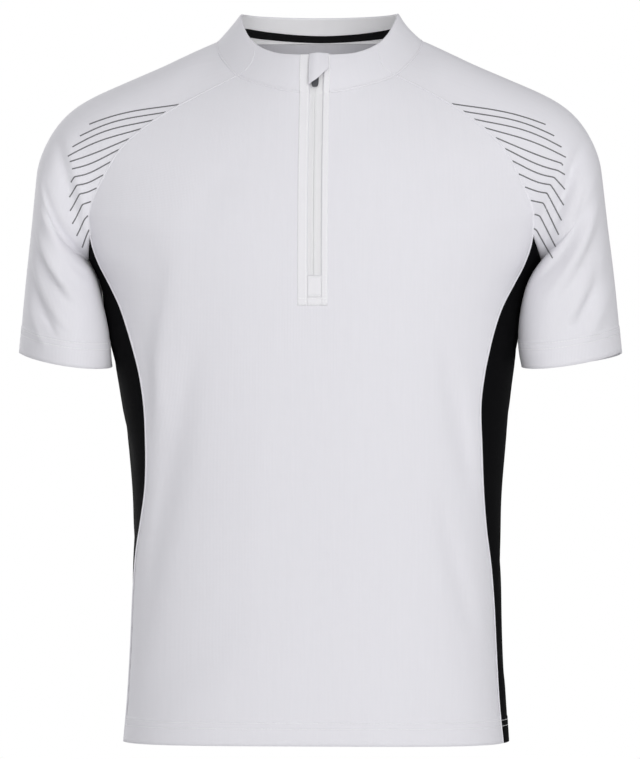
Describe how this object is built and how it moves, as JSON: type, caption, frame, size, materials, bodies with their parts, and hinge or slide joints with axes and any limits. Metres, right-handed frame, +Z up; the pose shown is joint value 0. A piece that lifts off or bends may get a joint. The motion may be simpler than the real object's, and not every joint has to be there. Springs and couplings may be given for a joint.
{
  "type": "cycling jersey",
  "caption": "Short-sleeved cycling jersey with raglan sleeves, stand collar, half zip and contrasting side panels, filled out as if worn.",
  "frame": {"origin": "middle of the neck opening at the height of the neck points, where the shoulders hold the jersey up", "axes": "+Z up, -Y towards the front, +X towards the wearer's left"},
  "size_m": [0.6035, 0.2489, 0.727],
  "materials": {
    "white_knit": "matte",
    "black_knit": "matte",
    "black_tape": "satin",
    "white_plastic": "satin",
    "grey_plastic": "satin"
  },
  "bodies": {
    "jersey": {"front": "white_knit", "back": "white_knit", "sleeve_right": "white_knit", "sleeve_left": "white_knit", "collar_front_right": "white_knit", "collar_back": "white_knit", "collar_front_left": "white_knit", "zip_placket": "white_knit", "zip_end_patch": "white_knit", "zip_garage": "white_knit", "zip_tape_right": "white_knit", "zip_tape_left": "white_knit", "side_panel_right": "black_knit", "side_panel_left": "black_knit", "neck_tape": "black_tape", "zip_slider": "white_plastic"},
    "pull": {"pull_tab": "grey_plastic"}
  },
  "joints": [
    {"name": "pull_tab_hinge", "type": "hinge", "parent": "jersey", "child": "pull", "pos_m": [0.0004, -0.08667, -0.02942], "axis": [-1, 0, 0], "range_deg": [0, 5]}
  ]
}
